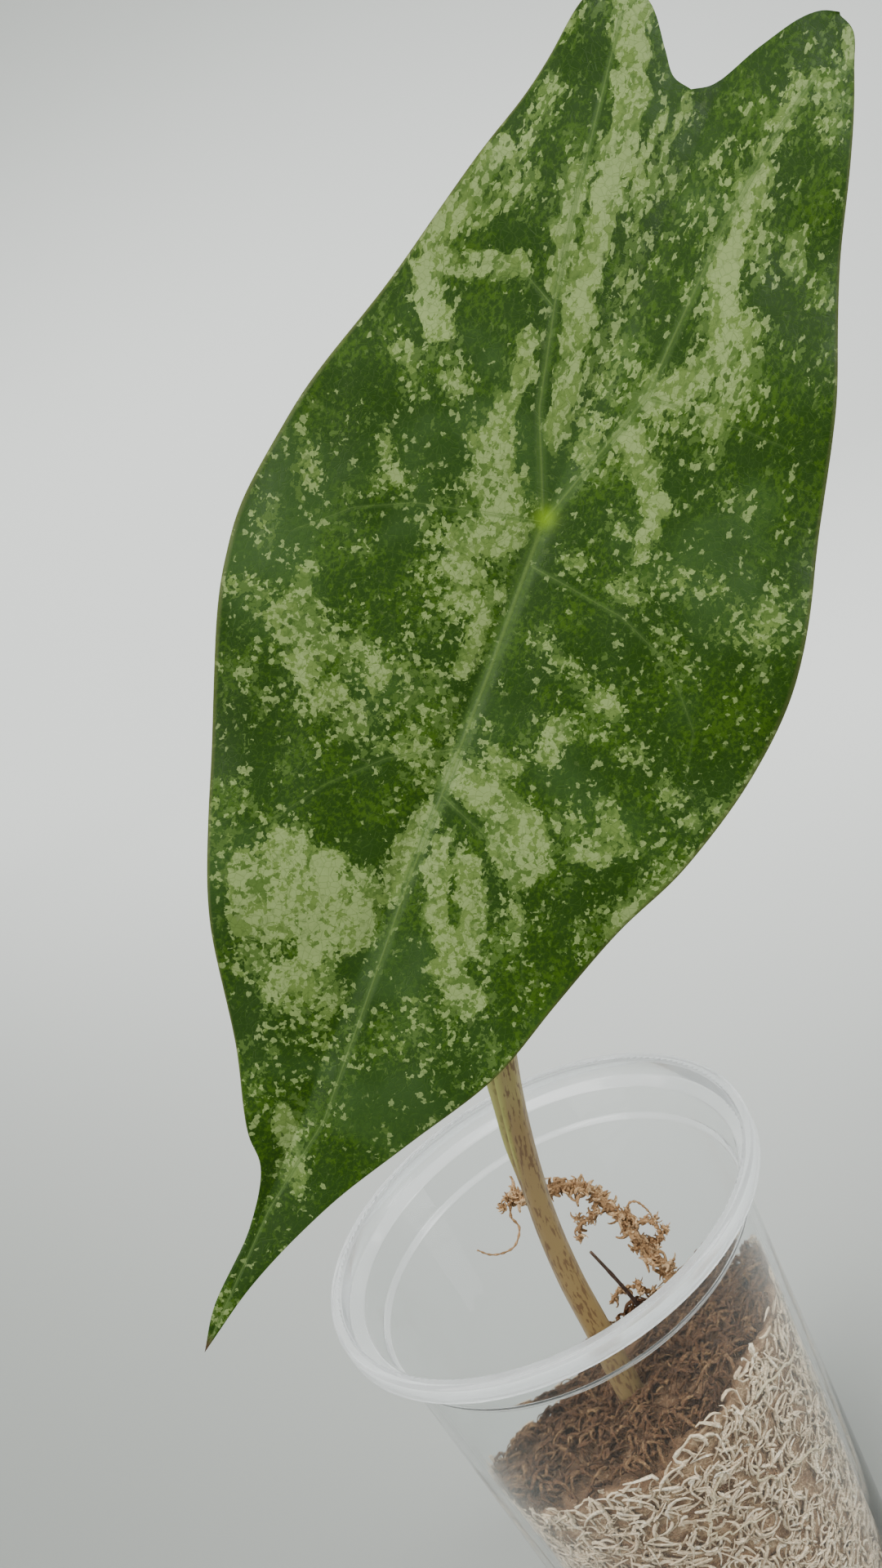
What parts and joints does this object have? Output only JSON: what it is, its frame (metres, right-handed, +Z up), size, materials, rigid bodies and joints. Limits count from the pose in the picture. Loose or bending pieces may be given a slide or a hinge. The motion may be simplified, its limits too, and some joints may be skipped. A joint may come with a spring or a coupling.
{
  "type": "potted variegated alocasia",
  "caption": "Arrow-shaped variegated alocasia leaf on a leaning mottled stalk, potted in sphagnum moss in a clear plastic cup.",
  "frame": {"origin": "centre of the underside of the cup's base", "axes": "-Z out of the base, +Z up along the cup's axis, +X the side to which the stalk leans, -Y the way the leaf's upper face looks"},
  "size_m": [0.2688, 0.117, 0.3868],
  "materials": {
    "clear_plastic": "clear, glossy",
    "moss": "fibrous, matte",
    "twig": "dry, matte",
    "corm": "matte",
    "stalk": "mottled, satin",
    "leaf": "variegated green and cream, satin"
  },
  "bodies": {
    "root": {"cup": "clear_plastic", "moss_bed": "moss", "moss_sprig": "moss", "twig": "twig", "corm_and_roots": "corm", "petiole": "stalk", "leaf_blade": "leaf"}
  },
  "joints": []
}
